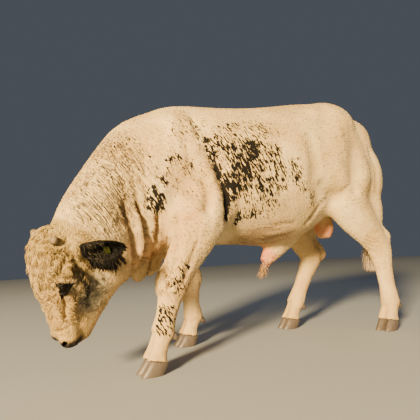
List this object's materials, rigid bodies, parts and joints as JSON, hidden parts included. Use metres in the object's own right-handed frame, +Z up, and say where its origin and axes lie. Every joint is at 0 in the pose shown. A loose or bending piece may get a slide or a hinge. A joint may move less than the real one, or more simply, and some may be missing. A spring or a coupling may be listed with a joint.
{
  "type": "grazing bull",
  "caption": "Standing bull of a pale, black-flecked cattle breed, head lowered to graze and turned to its left, with short horn stubs, cupped ears and an ear tag.",
  "frame": {"origin": "on the floor under the middle of the bounding box", "axes": "+X to the rear: the bull faces -X, its left side is at -Y, +Z up"},
  "size_m": [2.4226, 0.9122, 1.5258],
  "materials": {
    "hide_cream": "short matte coat",
    "skin_pink": "thinly haired skin",
    "hide_black": "short matte coat",
    "horn": "worn horn",
    "eye": "wet and glossy",
    "tag": "moulded, plain"
  },
  "bodies": {
    "root": {"torso": "hide_cream", "rump": "hide_cream", "neck": "hide_cream", "head": "hide_cream", "tail": "hide_cream", "tail_switch": "hide_cream", "foreleg_left": "hide_cream", "foreleg_right": "hide_cream", "hindleg_left": "hide_cream", "hindleg_right": "hide_cream", "sheath": "skin_pink", "scrotum": "skin_pink", "ear_left": "hide_black", "ear_right": "hide_black", "eye_left": "eye", "eye_right": "eye", "horn_left": "horn", "horn_right": "horn", "claw_fore_left_inner": "horn", "claw_fore_left_outer": "horn", "claw_fore_right_inner": "horn", "claw_fore_right_outer": "horn", "claw_hind_left_inner": "horn", "claw_hind_left_outer": "horn", "claw_hind_right_inner": "horn", "claw_hind_right_outer": "horn", "dewclaw_fore_left_inner": "horn", "dewclaw_fore_left_outer": "horn", "dewclaw_fore_right_inner": "horn", "dewclaw_fore_right_outer": "horn", "dewclaw_hind_left_inner": "horn", "dewclaw_hind_left_outer": "horn", "dewclaw_hind_right_inner": "horn", "dewclaw_hind_right_outer": "horn", "tag_left": "tag", "tag_right": "tag"}
  },
  "joints": []
}
